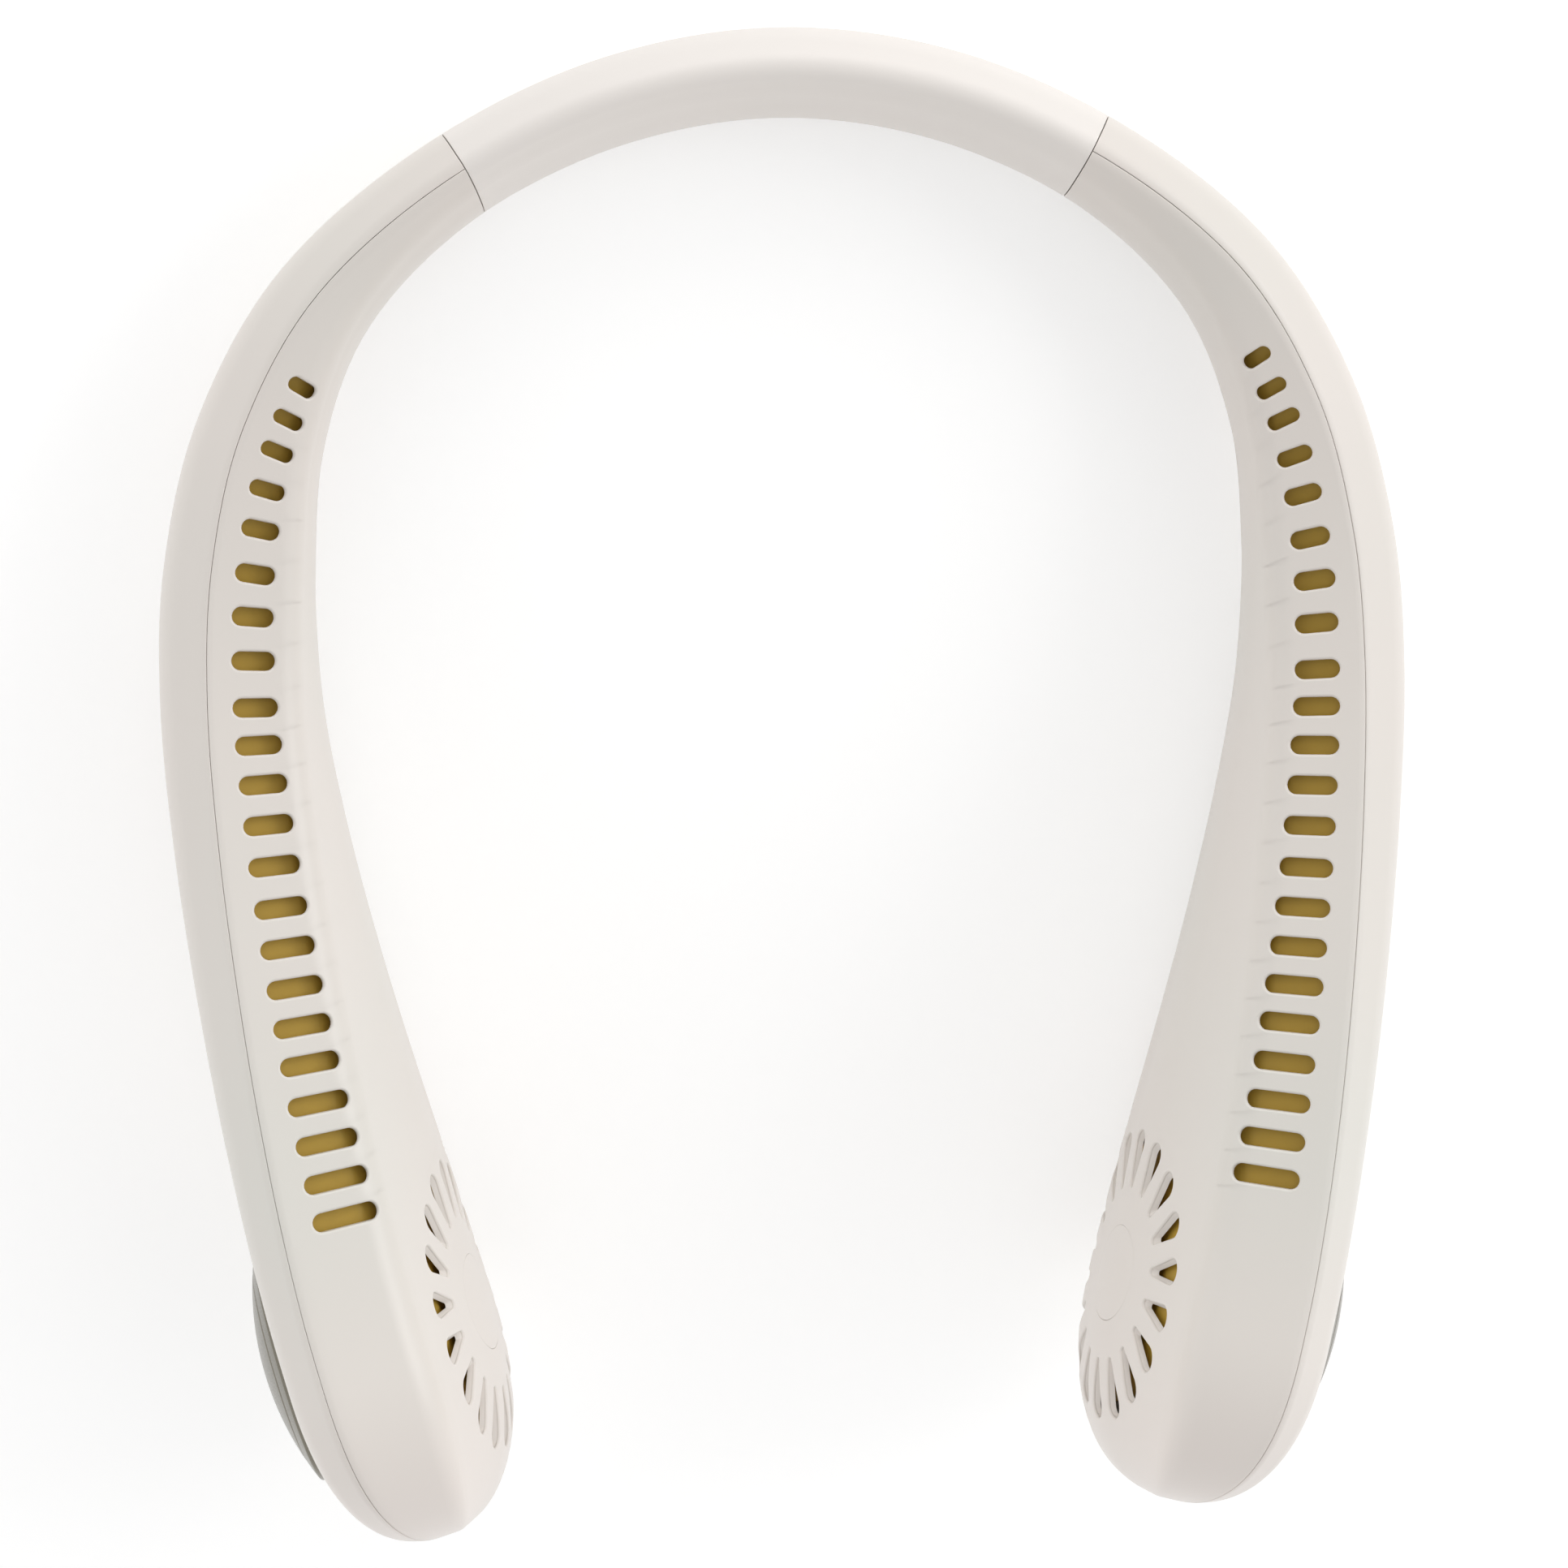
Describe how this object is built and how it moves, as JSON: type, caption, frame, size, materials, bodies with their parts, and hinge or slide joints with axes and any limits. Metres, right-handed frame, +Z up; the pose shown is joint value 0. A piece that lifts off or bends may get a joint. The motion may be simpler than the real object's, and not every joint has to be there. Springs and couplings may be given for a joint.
{
  "type": "neck fan",
  "caption": "U-shaped electric neck fan with a soft neck band, slotted arms that widen to round intake grilles, and turbine fans inside the arm ends.",
  "frame": {"origin": "middle of the fan's bounding box, on the table it rests on", "axes": "+Z up from the table; +Y from the arm tips to the neck band; X across, the two arms mirrored in X = 0. The fan lies on its neck band and its two arm ends"},
  "size_m": [0.1867, 0.2291, 0.0693],
  "materials": {
    "soft_cream": "satin",
    "cream_plastic": "soft gloss",
    "grey_plastic": "matte",
    "olive_plastic": "matte",
    "silver_disc": "brushed",
    "zinc_steel": "bright",
    "spring_steel": "bright",
    "white_plastic": "matte",
    "magnet_grey": "matte",
    "bush_brass": "turned",
    "stator_steel": "laminated",
    "coil_copper": "wound wire",
    "cell_wrap": "film",
    "foam_grey": "foam",
    "board_green": "solder mask",
    "light_lens": "clear",
    "button_grey": "matte",
    "wire_red": "insulation"
  },
  "bodies": {
    "neck_band": {"neck_sleeve": "soft_cream", "band_spring": "spring_steel", "wire_loom": "wire_red"},
    "right_arm": {"right_inner_shell": "cream_plastic", "right_outer_shell": "cream_plastic", "right_neck_plug": "grey_plastic", "right_air_duct": "olive_plastic", "right_fan_housing": "olive_plastic", "right_hub_cap": "cream_plastic", "right_outer_disc": "silver_disc", "right_shell_screws": "zinc_steel", "right_motor_bush": "bush_brass", "right_motor_base": "white_plastic", "right_stator": "stator_steel", "right_motor_coils": "coil_copper", "right_battery": "cell_wrap", "right_battery_pad": "foam_grey", "control_board": "board_green", "charging_port": "zinc_steel", "tact_switch": "grey_plastic", "charge_light": "light_lens"},
    "left_arm": {"left_inner_shell": "cream_plastic", "left_outer_shell": "cream_plastic", "left_neck_plug": "grey_plastic", "left_air_duct": "olive_plastic", "left_fan_housing": "olive_plastic", "left_hub_cap": "cream_plastic", "left_outer_disc": "silver_disc", "left_shell_screws": "zinc_steel", "left_motor_bush": "bush_brass", "left_motor_base": "white_plastic", "left_stator": "stator_steel", "left_motor_coils": "coil_copper", "left_battery": "cell_wrap", "left_battery_pad": "foam_grey"},
    "right_fan": {"right_fan_wheel": "olive_plastic", "right_rotor_bell": "spring_steel", "right_ring_magnet": "magnet_grey", "right_motor_shaft": "zinc_steel"},
    "left_fan": {"left_fan_wheel": "olive_plastic", "left_rotor_bell": "spring_steel", "left_ring_magnet": "magnet_grey", "left_motor_shaft": "zinc_steel"},
    "power_button": {"power_button": "button_grey"}
  },
  "joints": [
    {"name": "right_arm_flex", "type": "hinge", "parent": "neck_band", "child": "right_arm", "pos_m": [0.02355, 0.105, 0.00907], "axis": [0, 0.3806, 0.9247], "range_deg": [-4, 14], "stiffness_Nm_per_rad": 2, "deforming": ["neck_sleeve", "band_spring", "wire_loom"]},
    {"name": "left_arm_flex", "type": "hinge", "parent": "neck_band", "child": "left_arm", "pos_m": [-0.02355, 0.105, 0.00907], "axis": [0, -0.3806, -0.9247], "range_deg": [-4, 14], "stiffness_Nm_per_rad": 2, "deforming": ["neck_sleeve", "band_spring", "wire_loom"]},
    {"name": "right_fan_spin", "type": "hinge", "parent": "right_arm", "child": "right_fan", "pos_m": [0.04956, -0.07997, 0.02974], "axis": [-0.9447, 0.3098, 0.1074], "continuous": true},
    {"name": "left_fan_spin", "type": "hinge", "parent": "left_arm", "child": "left_fan", "pos_m": [-0.04956, -0.07997, 0.02974], "axis": [0.9447, 0.3098, 0.1074], "continuous": true},
    {"name": "power_button_press", "type": "slide", "parent": "right_arm", "child": "power_button", "axis": [-0.9989, 0.0425, 0.0172], "range_m": [0, 0.0006], "stiffness_N_per_m": 400}
  ]
}
